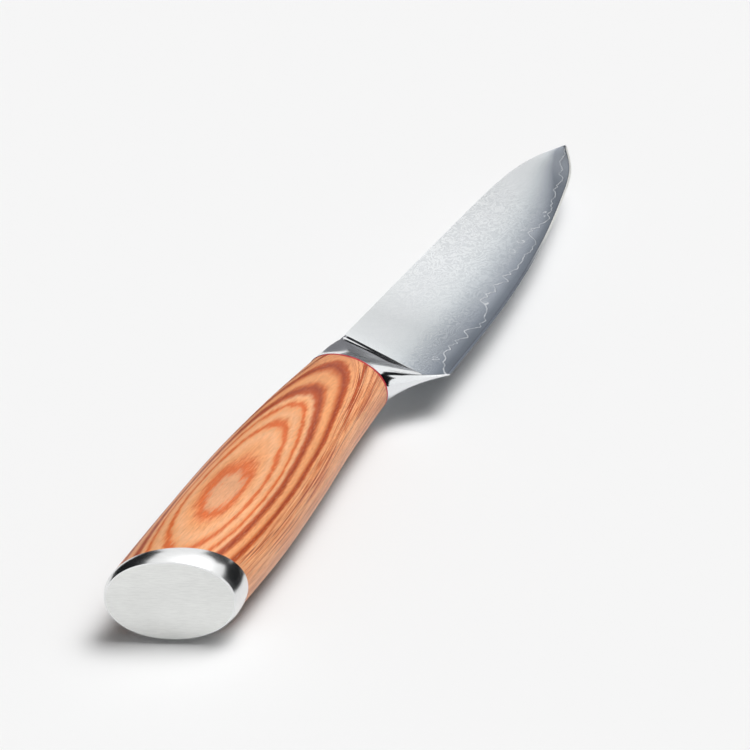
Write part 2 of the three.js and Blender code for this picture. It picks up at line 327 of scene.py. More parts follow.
border = smooth_line(BORDER_LINE, np.linspace(0, 1, POINTS_PER_COLUMN * COLUMNS))
border_height = np.interp(edge[:, 0], np.maximum.accumulate(border[:, 0]), border[:, 1])
ragged = np.zeros_like(columns)
for tooth_height, tooth_length in TEETH:
    phase = 2 * math.pi * (edge[:, 0] - HEEL[0]) / tooth_length
    phase += UNEVEN_TEETH * np.sin(phase / UNEVEN_OVER)
    ragged += tooth_height * np.sin(phase + TOOTH_LEAN * np.sin(phase))
border_height += ragged * np.minimum(1, border_height / FULL_TEETH)
core_share = np.minimum(border_height / blade_height, LARGEST_CORE_SHARE)
print("the core shows up to", round(float(border_height.max()), 1), "mm over the edge")

# %% [markdown]
# ## The blade's net
# The blade is drawn as a net: columns from heel to tip, rows from edge to spine. The first rows are the
# honed bevel and the band of core, the others are the side sheet above it. One net serves all three
# sheets, so they meet without a gap. At the heel the net draws back in a notch, where the bolster takes
# over.

# %% Rows of the net
BEVEL_AT_HEEL = 0.5
BEVEL_AT_TIP = 0.58
BEVEL_GROWS_UNTIL = 0.75
BEVEL_IN_BAND = 0.7
BAND_STEPS = np.linspace(0, 1, 7)
CLADDING_STEPS = np.linspace(0, 1, 25)
CORE_SHARE = 0.17
HEEL_NOTCH = 4.25
NOTCH_FADE = 0.1


def ease(share):
    """A share that starts and ends gently."""
    held = np.clip(share, 0, 1)
    return held * held * (3 - 2 * held)


def notch_depth(share):
    """How far the blade's rear end lies behind a straight line, at shares of the height."""
    return HEEL_NOTCH * np.minimum(share / CORE_SHARE, (1 - share) / (1 - CORE_SHARE))


bevel_height = mix(BEVEL_AT_HEEL, BEVEL_AT_TIP, ease(columns / BEVEL_GROWS_UNTIL))
bevel_share = np.minimum(bevel_height / blade_height, BEVEL_IN_BAND * core_share)
band = mix(bevel_share[None], core_share[None], BAND_STEPS[:, None])
sheet = mix(core_share[None], 1.0, CLADDING_STEPS[1:, None])
row_share = np.vstack([np.zeros_like(columns)[None], band, sheet])
CORE_ROW = len(BAND_STEPS)
ROWS = len(row_share)
fade = np.maximum(0, 1 - columns / NOTCH_FADE) ** 2
plan = mix(edge[None], back[None], row_share[:, :, None])
plan[:, :, 0] -= notch_depth(row_share[:, 0])[:, None] * fade[None]
print("net:", columns.size, "columns,", ROWS, "rows, core up to row", CORE_ROW)

# %% [markdown]
# ## The blade's thickness
# In section the blade is a slim wedge, thinner towards the tip, with the short bevel at the edge. Inside
# it the core fills everything below the ragged line, and keeps a thin middle part between the side sheets
# above. Both are worked out for every point of the net at once.

# %% Thickness of the sheets
SPINE_HALF = 1.0
TIP_HALF = 0.4
BEVEL_SLOPE = 0.25
GRIND_POWER = 0.9
CORE_HALF = 0.35
CORE_IN_SPINE = 0.6

climb = np.maximum(0, (row_share - bevel_share) / (1 - bevel_share))
spine_half = mix(SPINE_HALF, TIP_HALF, columns)
bevel_half = BEVEL_SLOPE * bevel_share * blade_height
blade_half = bevel_half + (spine_half - bevel_half) * climb ** GRIND_POWER
blade_half[0] = 0
inner_climb = np.maximum(0, (row_share - core_share) / (1 - core_share))
core_at_spine = np.minimum(CORE_HALF, CORE_IN_SPINE * blade_half[-1])
core_half = np.where(np.arange(ROWS)[:, None] <= CORE_ROW, blade_half,
                     mix(blade_half[CORE_ROW][None], core_at_spine[None], inner_climb))
core_half[:, -1] = blade_half[:, -1]
print("spine:", 2 * SPINE_HALF, "mm thick at the heel,", 2 * TIP_HALF, "mm at the tip")

# %% [markdown]
# ## The three sheets
# Each sheet takes the rows it needs from the net, for its upper and its under side, and a strip of faces
# closes it all round. Every point also keeps its place in the net, which the finishes read later: its
# share of the length, its share of the height, its distance from the ragged line in millimetres, and its
# distance from the edge in bevels. Texture coordinates could carry two of these. Attributes on the mesh
# carry all four.

# %% Core and side sheets
BLADE_SHARP_ANGLE = 8

steepness = np.hypot(1, np.gradient(border_height, edge[:, 0]))
above_core = (row_share - core_share) * blade_height / steepness
net = np.stack([np.broadcast_to(columns, row_share.shape), row_share, above_core], axis=2)
bevels_up = row_share / bevel_share


def keep_on_points(made, name, kind, field, values):
    """Keeps a value for every point of a sheet, the same on its upper and its under side."""
    both = np.concatenate([values.reshape(-1)] * 2).astype(np.float32)
    made.data.attributes.new(name, kind, "POINT").data.foreach_set(field, both)


def blade_sheet(name, first_row, low, high, node, slot):
    """A closed sheet of the blade between two heights, from one row up to the spine."""
    rows = ROWS - first_row
    count = COLUMNS + 1
    flat = plan[first_row:].reshape(-1, 2)
    top = np.column_stack([flat, high[first_row:].reshape(-1)])
    under = np.column_stack([flat, low[first_row:].reshape(-1)])
    upper_faces = grid_faces(rows, count, closed=False)
    shift = rows * count
    faces = upper_faces + [tuple(shift + i for i in face[::-1]) for face in upper_faces]
    rim = list(range(count))
    rim += [r * count + count - 1 for r in range(1, rows)]
    rim += [(rows - 1) * count + c for c in range(count - 2, -1, -1)]
    rim += [r * count for r in range(rows - 2, 0, -1)]
    for here, there in zip(rim, rim[1:] + rim[:1]):
        faces.append((there, here, shift + here, shift + there))
    made = piece(name, np.vstack([top, under]), faces, node, slot, sharp=BLADE_SHARP_ANGLE)
    keep_on_points(made, "net", "FLOAT_VECTOR", "vector", net[first_row:])
    keep_on_points(made, "from_edge", "FLOAT", "value", bevels_up[first_row:])
    return made


core = blade_sheet("edge_steel", 0, -core_half, core_half, "blade_core", "core_steel")
right_sheet = blade_sheet("layers_right", CORE_ROW, core_half, blade_half,
                          "blade_cladding_right", "layered_steel")
left_sheet = blade_sheet("layers_left", CORE_ROW, -blade_half, -core_half,
                         "blade_cladding_left", "layered_steel")

# %% [markdown]
# ## The bolster's profile
# The bolster is the hardest form of the knife. It starts as the oval of the handle and falls forward as a
# crown to the thickness of the blade. On the spine side it ends in a shoulder of two narrow bevels with a
# ledge between them. The ledge runs out before the middle, the bevels further down. The front follows the
# blade's rear end. So every height has its own profile, worked out here as a half thickness at a distance
# behind the front.

# %% Crown and shoulder
LIP_STEP = 0.1
BEVEL_WIDTH = 2.0
UPPER_BEVEL = 0.55
BEVEL_RISE = math.tan(math.radians(9.5))
BEVEL_NARROWS = 0.5
BEVEL_ENDS = 0.76
LEDGE = 0.6
LEDGE_ENDS = 0.42
SOFT_CORNER = 0.12
BOLSTER_SHARES = 160

ring_high, ring_low, ring_half = SPINE_LINE[-1][1], BELLY_LINE[-1][1], HALF_THICKNESS[-1]
shares = (1 - np.cos(np.linspace(0, math.pi, BOLSTER_SHARES + 1))) / 2
rise = 1 - shares
front = mix(np.array(HEEL, float)[None], np.array(SPINE_CORNER, float)[None], rise[:, None])
front[:, 0] -= notch_depth(rise)
front_climb = np.maximum(0, (rise - bevel_share[0]) / (1 - bevel_share[0]))
front_half = bevel_half[0] + (SPINE_HALF - bevel_half[0]) * front_climb ** GRIND_POWER + LIP_STEP

length = front[:, 0] - BOLSTER_REAR
bevel = BEVEL_WIDTH * (1 - ease((shares - BEVEL_NARROWS) / (BEVEL_ENDS - BEVEL_NARROWS)))
ledge = LEDGE * (1 - ease(shares / LEDGE_ENDS))
foot = bevel + ledge
upper_bevel = bevel * UPPER_BEVEL
crown_rise = (ring_half - front_half - BEVEL_RISE * bevel) / (length - foot)


def past(distance):
    """How far a distance lies past zero, with a soft corner."""
    return (distance + np.sqrt(distance ** 2 + SOFT_CORNER ** 2) - SOFT_CORNER) / 2


def crown_level(behind):
    """Half thickness before rounding, at a distance behind the blade's rear line, for every height."""
    on_upper = past(behind) - past(behind - upper_bevel)
    on_lower = past(behind - upper_bevel - ledge) - past(behind - foot)
    return front_half + BEVEL_RISE * (on_upper + on_lower) + crown_rise * past(behind - foot)


print("bolster: from", round(float(length.min()), 1), "to", round(float(length.max()), 1), "mm long")

# %% [markdown]
# ## The bolster's skin
# On the belly side the bolster sweeps out in a hollow to a thin lip at the heel, which guides the finger.
# A maker would grind it. Here the rings change from the handle's oval to the slim front: flat on the spine
# side, a wedge on the belly side, and stations stand closer towards the front, where the form changes
# fastest.

# %% The polished bolster
SWEEP_POWER = 1.5
FRONT_POWER = 8
WEDGE_POWER = 1.5
LIP_POWER = 12
STATION_POWER = 1.6
BOLSTER_STATIONS = 140
BOLSTER_SHARP_ANGLE = 50

bolster_rings = []
for t in 1 - np.linspace(1, 0, BOLSTER_STATIONS + 1) ** STATION_POWER:
    x = mix(BOLSTER_REAR, front[:, 0], t)
    y = mix(mix(ring_high, ring_low, shares), front[:, 1], t ** SWEEP_POWER)
    spine_half_power = mix(OVAL_POWER, FRONT_POWER, t ** 2)
    belly_half_power = mix(OVAL_POWER, WEDGE_POWER, t)
    crown_power = np.where(shares < 0.5, spine_half_power, belly_half_power)
    lip = front_half * oval(shares, mix(OVAL_POWER, LIP_POWER, math.sqrt(t)))
    z = lip + (crown_level((1 - t) * length) - front_half) * oval(shares, crown_power)
    bolster_rings.append(both_sides(np.column_stack([x, y, z])))
bolster = piece("polished_bolster", *loft(bolster_rings), "bolster", "polished_steel",
                sharp=BOLSTER_SHARP_ANGLE)

# %% [markdown]
# ## Nodes in few words
# A finish is a tree of shader nodes. Placing them by hand is fine for one material. Here several share
# the same steps, so short functions stand for the nodes that come back again and again: sums, mixes,
# ranges, noise and colour ramps. Ranges are written as from low, from high, to low, to high.

# %% Helpers for nodes
def add(tree, kind, inputs=None, **settings):
    """One shader node: settings are its properties, inputs are plain values or other nodes' sockets."""
    made = tree.nodes.new("ShaderNode" + kind)
    for name, value in settings.items():
        setattr(made, name, value)
    for name, value in (inputs or {}).items():
        if isinstance(value, bpy.types.NodeSocket):
            tree.links.new(value, made.inputs[name])
        else:
            made.inputs[name].default_value = value
    return made


def maths(tree, operation, a, b=0.0, c=0.0, clamp=False):
    return add(tree, "Math", {0: a, 1: b, 2: c}, operation=operation, use_clamp=clamp).outputs[0]


def scaled(tree, place, by):
    """A place, multiplied along each axis."""
    return add(tree, "VectorMath", {0: place, 1: by}, operation="MULTIPLY").outputs[0]


def moved(tree, place, by, to):
    """A place, multiplied along each axis and then shifted."""
    return add(tree, "VectorMath", {0: place, 1: by, 2: to}, operation="MULTIPLY_ADD").outputs[0]


def noise(tree, place, **sockets):
    """A cloudy value between 0 and 1."""
    return add(tree, "TexNoise", {"Vector": place, **sockets}).outputs[0]


def span(tree, value, low, high, to_low=0.0, to_high=1.0):
    """A value moved from one range to another, held at its ends."""
    made = add(tree, "MapRange", {"Value": value, "From Min": low, "From Max": high,
                                  "To Min": to_low, "To Max": to_high}, interpolation_type="SMOOTHSTEP")
    return made.outputs["Result"]


print("short names for nodes:", ", ".join(f.__name__ for f in (maths, scaled, moved, noise, span)))

# %% [markdown]
# ## Colours in nodes
# Colours are written as a screen shows them, from 0 to 255, the way a photograph's colours are read. Blender
# counts in light, so each is turned into light once. Colours are then mixed, shaded by one value, or looked
# up in a ramp, which could also be set by hand in the node editor, stop by stop.

# %% Helpers for colours
def tint(red, green, blue):
    """A colour as it is seen on a screen, 0 to 255, turned into the light that Blender counts in."""
    def light(level):
        share = level / 255
        return share / 12.92 if share <= 0.04045 else ((share + 0.055) / 1.055) ** 2.4
    return (light(red), light(green), light(blue), 1.0)


def blend(tree, share, a, b, kind="MIX"):
    """A mix of two colours."""
    return add(tree, "Mix", {0: share, 6: a, 7: b}, data_type="RGBA", blend_type=kind).outputs[2]


def shaded(tree, colour, level):
    """A colour made lighter or darker by one value."""
    grey = add(tree, "CombineXYZ", {0: level, 1: level, 2: level}).outputs[0]
    return blend(tree, 1.0, colour, grey, "MULTIPLY")


def ramp(tree, value, stops_at):
    """A colour ramp through (place, colour) stops."""
    made = add(tree, "ValToRGB", {0: value})
    stops = made.color_ramp.elements
    while len(stops) < len(stops_at):
        stops.new(0.5)
    for stop, (place, colour) in zip(stops, stops_at):
        stop.position = place
        stop.color = colour
    return made.outputs[0]


def grey_ramp(tree, value, levels_at):
    """A ramp through (place, level) stops, from black at 0 to white at 1."""
    return ramp(tree, value, [(place, (level,) * 3 + (1,)) for place, level in levels_at])


print("half grey on the screen is", round(tint(128, 128, 128)[0], 3), "of the light")

# %% [markdown]
# ## Groups and materials
# A node group is a finish in a box: built once, with named sockets, and placed in each material with its
# own values. The groups here hand out only values and colours, and the shader itself stays in the
# material. Their patterns are laid out in millimetres on the knife, so they run on from piece to piece.

# %% Helpers for groups and materials
def group(name, inputs, outputs):
    """An empty node group with named sockets: inputs are (name, kind, value), outputs are (name, kind)."""
    made = bpy.data.node_groups.new(name, "ShaderNodeTree")
    for socket, kind, value in inputs:
        put = made.interface.new_socket(socket, in_out="INPUT", socket_type="NodeSocket" + kind)
        put.default_value = value
    for socket, kind in outputs:
        made.interface.new_socket(socket, in_out="OUTPUT", socket_type="NodeSocket" + kind)
    return made, made.nodes.new("NodeGroupInput").outputs, made.nodes.new("NodeGroupOutput").inputs


def place_group(tree, made, inputs):
    return add(tree, "Group", inputs, node_tree=made).outputs


def millimetres(tree):
    """The place on the knife in millimetres, the same for every piece."""
    return scaled(tree, add(tree, "TexCoord").outputs["Object"], (1 / MM,) * 3)


def material(name):
    """A new material, its node tree and the sockets of its shader."""
    made = bpy.data.materials.new(name)
    made.use_nodes = True
    tree = made.node_tree
    return made, tree, tree.nodes["Principled BSDF"].inputs


print("so far:", len(bpy.data.node_groups), "groups and", len(bpy.data.materials), "materials")

# %% [markdown]
# ## Scratches and slow tone
# Steel that was ground or buffed keeps fine scratches in one direction, and wood has fibres that lie the
# same way. A noise that is stretched along one axis gives both. The second effect is a slow change of
# tone, because no real surface is quite even. A picture of scratches would do as well, but it would
# repeat.

# %% Two shared groups
SLOW_RANGE = (0.3, 0.7)

brushing, given, out = group(
    "fine_brushing",
    [("Place", "Vector", (0, 0, 0)), ("Stretch", "Vector", (1, 1, 1)), ("Contrast", "Float", 1.0)],
    [("Streaks", "Float")])
stretched = scaled(brushing, given["Place"], given["Stretch"])
centred = maths(brushing, "SUBTRACT", noise(brushing, stretched, Scale=1.0, Detail=4.0, Roughness=0.7), 0.5)
strong = maths(brushing, "MULTIPLY", centred, given["Contrast"])
brushing.links.new(maths(brushing, "ADD", strong, 0.5, clamp=True), out["Streaks"])

mottle, given, out = group(
    "slow_tone",
    [("Place", "Vector", (0, 0, 0)), ("Size mm", "Float", 20.0),
     ("Low", "Float", 0.9), ("High", "Float", 1.1)],
    [("Tone", "Float")])
cloud = noise(mottle, given["Place"], Scale=maths(mottle, "DIVIDE", 1.0, given["Size mm"]), Detail=2.0)
mottle.links.new(span(mottle, cloud, *SLOW_RANGE, given["Low"], given["High"]), out["Tone"])


def streaks(tree, place, stretch, contrast):
    return place_group(tree, brushing, {"Place": place, "Stretch": stretch, "Contrast": contrast})["Streaks"]


def slow_tone(tree, place, size, low, high):
    return place_group(tree, mottle, {"Place": place, "Size mm": size, "Low": low, "High": high})["Tone"]


print("groups:", brushing.name, mottle.name)

# %% [markdown]
# ## The colours of the wood
# Thin dyed veneers lie parallel to the blade. Where the oval handle cuts through them, their edges appear
# as rings, like height lines on a map: wide ovals on the crown, fine parallel lines on the steep sides. A
# picture of wood, wrapped round the handle, would not follow the form. So the crown's colours are listed
# by their depth in the block, and the many thin veneers of the sides by how a noise picks them.

# %% Veneers
PEACH = tint(232, 168, 124)
PALE = tint(243, 180, 132)
TAN = tint(239, 164, 109)
ORANGE = tint(219, 106, 47)
AMBER = tint(204, 107, 56)
RUST = tint(190, 84, 36)
RED_BROWN = tint(158, 60, 26)
# Depth below the crown in millimetres, and the colour there.
CROWN_VENEERS = [(0.0, PEACH), (0.14, PEACH), (0.27, ORANGE), (0.36, ORANGE), (0.56, TAN), (0.9, PALE),
                 (1.08, TAN), (1.18, ORANGE), (1.32, ORANGE), (1.44, TAN), (1.6, PALE), (1.92, TAN),
                 (2.04, ORANGE), (2.14, ORANGE), (2.26, TAN), (2.45, PALE), (2.7, RUST), (3.0, RED_BROWN),
                 (3.25, AMBER), (3.5, TAN), (3.95, TAN), (4.3, AMBER), (4.55, RED_BROWN), (4.95, RUST),
                 (5.2, TAN), (5.6, PEACH)]
# Value of the noise, and the colour it picks.
SIDE_VENEERS = [(0.0, PALE), (0.36, PALE), (0.41, TAN), (0.45, RUST), (0.48, TAN), (0.53, PALE),
                (0.57, RED_BROWN), (0.61, RUST), (0.65, TAN), (0.7, RED_BROWN), (1.0, RED_BROWN)]
CROWN_DEPTH = CROWN_VENEERS[-1][0]
print("wood:", len(CROWN_VENEERS), "stops on the crown,", len(SIDE_VENEERS), "on the sides")

# %% [markdown]
# ## How deep a point lies
# Pressed veneers are never quite flat. The depth is bent along the handle, then moved up and down by a
# slow wave and a ripple. On the crown the ripple and the fibres move it further, so the rings look torn,
# while the sides keep the calmer depth and their lines stay long and straight.

# %% Depth below the crown
CROWN_MM = BUTT[2] / MM + max(HALF_THICKNESS)
VENEER_BEND = 0.00075
BEND_MIDDLE = 34.0
SLOW_STRETCH = (0.035, 0.12, 0.05)
# Stretch along the three axes, and contrast.
RIPPLE = ((0.06, 0.7, 0.7), 1.4)
FIBRE = ((0.3, 3.6, 3.6), 1.8)
PORES = ((0.8, 7.0, 7.0), 2.4)
# How far each unevenness moves the veneers, in millimetres.
SLOW_REACH = 0.7
RIPPLE_REACH = 0.12
CROWN_RIPPLE_REACH = 0.2
CROWN_FIBRE_REACH = 0.26

wood, tree, surface = material("laminated_wood")
where = millimetres(tree)
axes = add(tree, "SeparateXYZ", {0: where}).outputs
slow = noise(tree, scaled(tree, where, SLOW_STRETCH), Scale=1.0, Detail=1.5)
ripple = streaks(tree, where, *RIPPLE)
fibre = streaks(tree, where, *FIBRE)
pores = streaks(tree, where, *PORES)


def disturbed(depth, *unevenness):
    """A depth moved up or down by (value, reach) pairs; a value of a half leaves it where it is."""
    for value, reach in unevenness:
        depth = maths(tree, "MULTIPLY_ADD", maths(tree, "SUBTRACT", value, 0.5), reach, depth)
    return depth


from_middle = maths(tree, "ABSOLUTE", maths(tree, "SUBTRACT", axes["X"], BUTT[0] / MM + BEND_MIDDLE))
bent = maths(tree, "POWER", from_middle, 2.0)
flat_depth = maths(tree, "SUBTRACT", CROWN_MM, axes["Z"])
bent_depth = maths(tree, "MULTIPLY_ADD", bent, VENEER_BEND, flat_depth)
calm_depth = disturbed(bent_depth, (slow, SLOW_REACH), (ripple, RIPPLE_REACH))
depth = disturbed(calm_depth, (ripple, CROWN_RIPPLE_REACH), (fibre, CROWN_FIBRE_REACH))
print("the crown lies", round(float(CROWN_MM), 1), "mm over the table")

# %% [markdown]
# ## Rings, pores and sheen
# The two lists of veneers meet where the crown turns into the sides. Dark pores, pale flecks along the fibres
# painted on as highlights, and the shade of the fibres lie over them. Orange wood throws a warm glow on a
# white table. The table of the photograph is clean white, so a ray that has already bounced off something
# matt meets a darker wood here. The skin is oiled: half matt, with a very thin coat.

# %% The wood
PALER_BELOW = (6.0, 13.0, 0.0, 0.35)
PALER = tint(234, 186, 156)
LAYER_STRETCH = 0.012
SIDE_STARTS = CROWN_DEPTH - 0.5
SIDE_FULL = CROWN_DEPTH + 0.2
DARK_PORES = (0.6, 0.95, 0.0, 0.4)
DARK_PORE = tint(150, 72, 42)
# Pale flecks along the fibres, painted on as highlights.
PAINTED_GLINTS = (0.42, 0.1, 0.0, 0.25)
PAINTED_GLINT_TONE = tint(248, 206, 168)
FIBRE_SHADE = (0.2, 0.8, 0.88, 1.1)
# Size in millimetres, lowest and highest tone.
WOOD_TONE = (18.0, 0.95, 1.05)
WOOD_ROUGHNESS = (0.0, 1.0, 0.4, 0.55)
BOUNCE_KEPT = 0.3

crown_stops = [(place / CROWN_DEPTH, colour) for place, colour in CROWN_VENEERS]
crown_colour = ramp(tree, maths(tree, "DIVIDE", depth, CROWN_DEPTH), crown_stops)
layer_along = maths(tree, "MULTIPLY", axes["X"], LAYER_STRETCH)
layer_place = add(tree, "CombineXYZ", {0: layer_along, 2: calm_depth}).outputs[0]
side_colour = ramp(tree, noise(tree, layer_place, Scale=1.7, Detail=2.0, Roughness=0.55), SIDE_VENEERS)
side_colour = blend(tree, span(tree, depth, *PALER_BELOW), side_colour, PALER)
veneer = blend(tree, span(tree, depth, SIDE_STARTS, SIDE_FULL), crown_colour, side_colour)
coloured = blend(tree, span(tree, pores, *DARK_PORES), veneer, DARK_PORE)
# The pale flecks are painted highlights.
coloured = blend(tree, span(tree, pores, *PAINTED_GLINTS), coloured, PAINTED_GLINT_TONE)
grain = maths(tree, "MULTIPLY", span(tree, fibre, *FIBRE_SHADE), slow_tone(tree, where, *WOOD_TONE))
bounced = add(tree, "LightPath").outputs["Is Diffuse Ray"]
kept_light = span(tree, bounced, 0.0, 1.0, 1.0, BOUNCE_KEPT)
lit_wood = shaded(tree, coloured, maths(tree, "MULTIPLY", grain, kept_light))
tree.links.new(lit_wood, surface["Base Color"])
tree.links.new(span(tree, fibre, *WOOD_ROUGHNESS), surface["Roughness"])
surface["Coat Weight"].default_value = 0.06
surface["Coat Roughness"].default_value = 0.3
surface["Specular IOR Level"].default_value = 0.32
rough_skin = add(tree, "Bump", {"Height": pores, "Strength": 0.1, "Distance": 0.05 * MM})
tree.links.new(rough_skin.outputs[0], surface["Normal"])
handle.data.materials.append(wood)
print("wood:", len(tree.nodes), "nodes")

# %% [markdown]
# ## Red fibre
# Vulcanised fibre is paper pressed to a horny sheet: matt, deep red, with a faint felted tone. A plain
# red would look like paint, so the slow tone is used at the size of felt.

# %% The washer's finish
FIBRE_RED = tint(190, 38, 52)
FELT_MM = 1.2
FELT_TONE = (0.8, 1.15)
FELT_ROUGHNESS = (0.5, 0.62)

red_fibre, tree, surface = material("red_fibre")
tone = slow_tone(tree, millimetres(tree), FELT_MM, *FELT_TONE)
tree.links.new(shaded(tree, FIBRE_RED, tone), surface["Base Color"])
tree.links.new(span(tree, tone, *FELT_TONE, *FELT_ROUGHNESS), surface["Roughness"])
spacer.data.materials.append(red_fibre)
print("washer:", len(tree.nodes), "nodes")

# %% [markdown]
# ## Polished and brushed steel
# The bolster is buffed to a mirror, and only very fine hair lines are left in it. The side of the cap has
# the same polish, a little softer, and its end face is drawn over a belt, so it has long straight lines
# across. One function makes all three, from the direction, the roughness and the strength of the lines.

# %% The bright steels
LINE_SHADE = (0.0, 1.0, 0.94, 1.06)
LINE_RANGE = (0.2, 0.8)
STEEL_TONE = (9.0, 0.97, 1.03)
FACE_FLATNESS = 0.995


def bright_steel(name, colour, stretch, contrast, rough, bump):
    """Steel with lines in one direction."""
    made, tree, surface = material(name)
    where = millimetres(tree)
    lines = streaks(tree, where, stretch, contrast)
    level = maths(tree, "MULTIPLY", span(tree, lines, *LINE_SHADE), slow_tone(tree, where, *STEEL_TONE))
    tree.links.new(shaded(tree, colour, level), surface["Base Color"])
    tree.links.new(span(tree, lines, *LINE_RANGE, *rough), surface["Roughness"])
    surface["Metallic"].default_value = 1.0
    raised = add(tree, "Bump", {"Height": lines, "Strength": bump, "Distance": 0.02 * MM})
    tree.links.new(raised.outputs[0], surface["Normal"])
    return made


bolster_steel = bright_steel("polished_steel", tint(232, 234, 236), stretch=(0.4, 3.0, 3.0), contrast=1.2,
                             rough=(0.1, 0.13), bump=0.01)
cap_side_steel = bright_steel("polished_cap_side", tint(230, 231, 231), stretch=(2.0, 0.3, 0.3), contrast=1.0,
                              rough=(0.19, 0.23), bump=0.01)
cap_face_steel = bright_steel("brushed_cap_face", tint(227, 228, 226), stretch=(1.2, 0.1, 4.0), contrast=2.2,
                              rough=(0.28, 0.4), bump=0.1)
bolster.data.materials.append(bolster_steel)
cap.data.materials.append(cap_side_steel)
cap.data.materials.append(cap_face_steel)
face_direction = Vector(mounts["end_face"]["axis"])
face_count = 0
for polygon in cap.data.polygons:
    if polygon.normal.dot(face_direction) > FACE_FLATNESS:
        polygon.material_index = 1
        face_count += 1
print("faces of the brushed end:", face_count)

# %% [markdown]
# ## The painted reflections of the blade
# The ground faces of core and side sheets are one surface, so they share one tone, in which the reflections
# and shade of the set are painted: dark at the edge, bright at the spine, darker again towards the point, and
# a little dimmer in front of the bolster. Part of the dark low down is the core's own greyer steel. It could
# come from reflections alone, but then every new view would need its own set of cards. As a group of its own
# it is the same in both materials.

# %% Painted reflections on the ground faces
# Share of the height, and the painted reflection tone there.
PAINTED_REFLECTION_TONES = [(0.0, tint(104, 111, 122)), (0.07, tint(120, 128, 139)), (0.14, tint(158, 165, 175)),
                (0.23, tint(188, 194, 201)), (0.34, tint(212, 218, 223)), (0.46, tint(232, 237, 240)),
                (0.58, tint(242, 246, 248)), (0.75, tint(247, 250, 252)), (1.0, tint(249, 252, 253))]
# Share of the length, and the painted shade there, dimmest in front of the bolster.
PAINTED_SHADE_ALONG = [(0.0, 0.9), (0.03, 0.8), (0.09, 0.75), (0.16, 0.9), (0.26, 1.0), (1.0, 1.0)]
# Towards the point the painted dark of the edge climbs in two steps, but the painted light keeps a least
# share.
DARK_POINT = 0.42
POINT_DARKENS = (0.45, 1.0, 0.0, DARK_POINT)
POINT_DEEPENS = (0.82, 1.0, 0.0, DARK_POINT)
POINT_LEAST = (0.5, 0.85, 0.0, 0.15)

painted_reflection_tone, given, out = group("painted_reflection_tone", [("Along", "Float", 0.0), ("Share", "Float", 0.0)],
                                [("Tone", "Color")])
lowered = maths(painted_reflection_tone, "ADD", span(painted_reflection_tone, given["Along"], *POINT_DARKENS),
                span(painted_reflection_tone, given["Along"], *POINT_DEEPENS))
light_share = maths(painted_reflection_tone, "MAXIMUM", maths(painted_reflection_tone, "SUBTRACT", given["Share"], lowered),
                    span(painted_reflection_tone, given["Along"], *POINT_LEAST))
across = ramp(painted_reflection_tone, light_share, PAINTED_REFLECTION_TONES)
lengthwise = grey_ramp(painted_reflection_tone, given["Along"], PAINTED_SHADE_ALONG)
painted_reflection_tone.links.new(blend(painted_reflection_tone, 1.0, across, lengthwise, "MULTIPLY"), out["Tone"])
print("group:", painted_reflection_tone.name, "with", len(painted_reflection_tone.nodes), "nodes")

# %% [markdown]
# ## The border line
# Where the side sheets end, etching leaves a thin bright line with a groove below it. The bright line is
# partly the joint's own pale steel and partly a painted highlight, and the dark of the groove is painted
# shade. Small islands of the side sheet stay beside it. The line is drawn by the distance from the ragged
# line, and the islands by the distance from a few places, shaken by noise so that none is a true circle. It
# is patchy, as if worn.

# %% Border line and islands
BORDER_HALF = 0.1
# Islands beside the line: distance from the butt, place across the blade, radius.
ISLANDS = [(112, -8, 0.7), (142, -8, 0.5), (170, -3, 0.9), (176, -3, 0.8), (182, -1, 0.3), (192, -3, 0.3),
           (194, -2, 0.4)]
ISLAND_SHAKE = 1.6
FLATTENED = (1, 1, 0)
WORN = (0.35, 0.6, 0.45, 1.0)
# Painted shade of the groove, and the colour of the line, which is partly a painted highlight.
GROOVE_SHADE = tint(84, 92, 106)
LINE_TONE = tint(246, 248, 250)

border_line, given, out = group("border_line", [("Place", "Vector", (0, 0, 0)), ("Above", "Float", 0.0)],
                                [("Bright", "Float"), ("Dark", "Float")])
level_place = scaled(border_line, given["Place"], FLATTENED)
shaken = add(border_line, "TexNoise", {"Vector": level_place, "Scale": 0.9, "Detail": 1.0}).outputs["Color"]
shaken_place = moved(border_line, shaken, (ISLAND_SHAKE, ISLAND_SHAKE, 0), level_place)
from_line = maths(border_line, "ABSOLUTE", given["Above"])
for island_x, island_y, radius in ISLANDS:
    middle = (BUTT[0] / MM + island_x + ISLAND_SHAKE / 2, BUTT[1] / MM + island_y + ISLAND_SHAKE / 2, 0)
    apart = add(border_line, "VectorMath", {0: shaken_place, 1: middle},
                operation="DISTANCE").outputs["Value"]
    from_ring = maths(border_line, "ABSOLUTE", maths(border_line, "SUBTRACT", apart, radius))
    from_line = maths(border_line, "MINIMUM", from_line, from_ring)
drawn_line = span(border_line, from_line, BORDER_HALF, 2 * BORDER_HALF, 1.0, 0.0)
worn = span(border_line, noise(border_line, level_place, Scale=0.45, Detail=1.0), *WORN)
border_line.links.new(maths(border_line, "MULTIPLY", drawn_line, worn), out["Bright"])
# The dark below the line is painted shade of the groove.
from_groove = maths(border_line, "ABSOLUTE", maths(border_line, "ADD", given["Above"], 3 * BORDER_HALF))
border_line.links.new(span(border_line, from_groove, 0.0, 2 * BORDER_HALF, 1.0, 0.0), out["Dark"])


def with_border(tree, colour, line, brightest, darkest):
    """A colour with the groove's painted shade on it, and the bright line, partly a painted highlight, over
    that.
    """
    groove_shaded = blend(tree, maths(tree, "MULTIPLY", line["Dark"], darkest), colour, GROOVE_SHADE)
    return blend(tree, maths(tree, "MULTIPLY", line["Bright"], brightest), groove_shaded, LINE_TONE)


print("group:", border_line.name, "with", len(ISLANDS), "islands")

